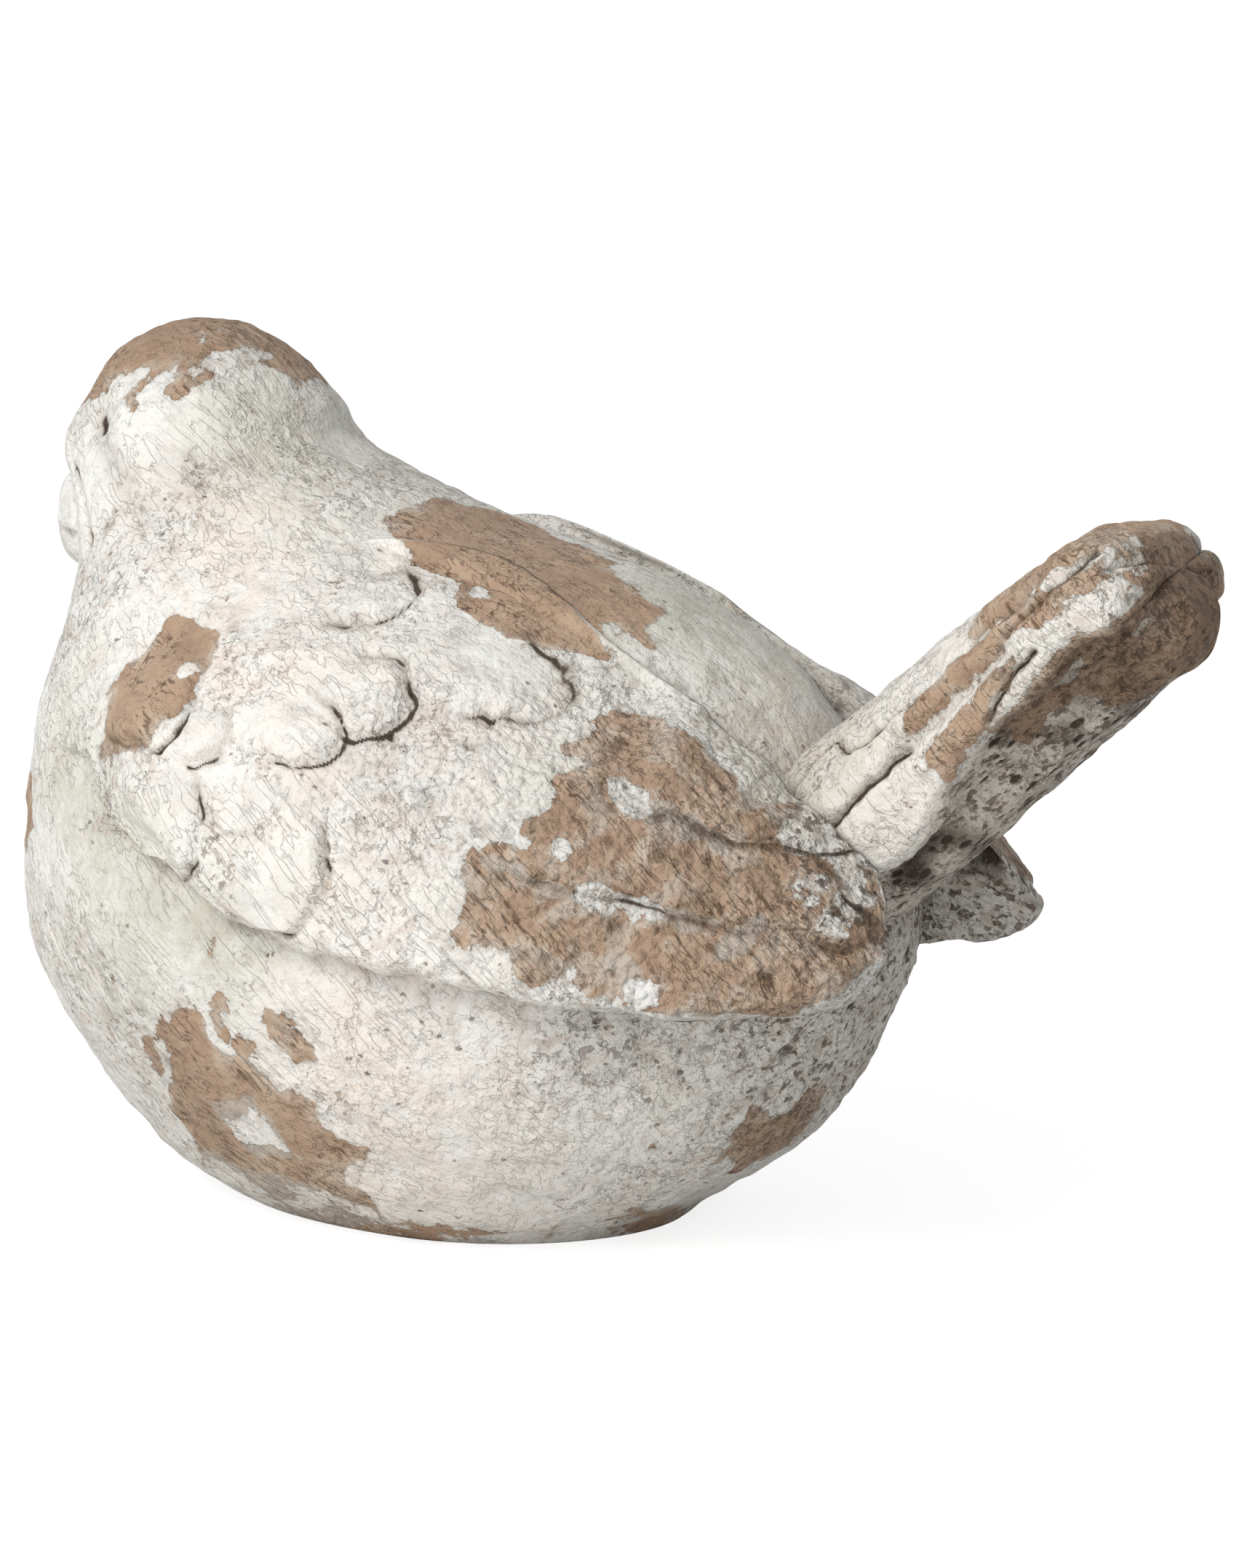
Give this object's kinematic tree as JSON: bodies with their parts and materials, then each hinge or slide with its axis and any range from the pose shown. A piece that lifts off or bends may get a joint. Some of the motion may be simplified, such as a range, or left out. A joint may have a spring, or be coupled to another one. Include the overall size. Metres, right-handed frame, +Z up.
{
  "type": "bird figure",
  "caption": "Plump cast chalkware bird that stands on a flat base, with layered folded wings, a raised square-ended tail and a small blunt beak.",
  "frame": {"origin": "centre of the flat base's underside", "axes": "+Z up, the bird faces -Y and its tail points to +Y, its left wing is at +X"},
  "size_m": [0.1804, 0.3084, 0.2039],
  "materials": {
    "chalk_body": "matt chalk wash, chipped to buff plaster",
    "chalk_head": "matt chalk wash, chipped to buff plaster",
    "chalk_beak": "matt chalk wash, chipped to buff plaster",
    "chalk_left_wing": "matt chalk wash, chipped to buff plaster",
    "chalk_right_wing": "matt chalk wash, chipped to buff plaster",
    "chalk_tail": "matt chalk wash, chipped to buff plaster",
    "bare_plaster_plug": "matt bare plaster",
    "steel_rod": "dull drawn wire"
  },
  "bodies": {
    "root": {"body_casting": "chalk_body", "head_casting": "chalk_head", "beak": "chalk_beak", "left_wing": "chalk_left_wing", "right_wing": "chalk_right_wing", "tail_casting": "chalk_tail", "pour_hole_plug": "bare_plaster_plug", "tail_rod": "steel_rod"}
  },
  "joints": []
}
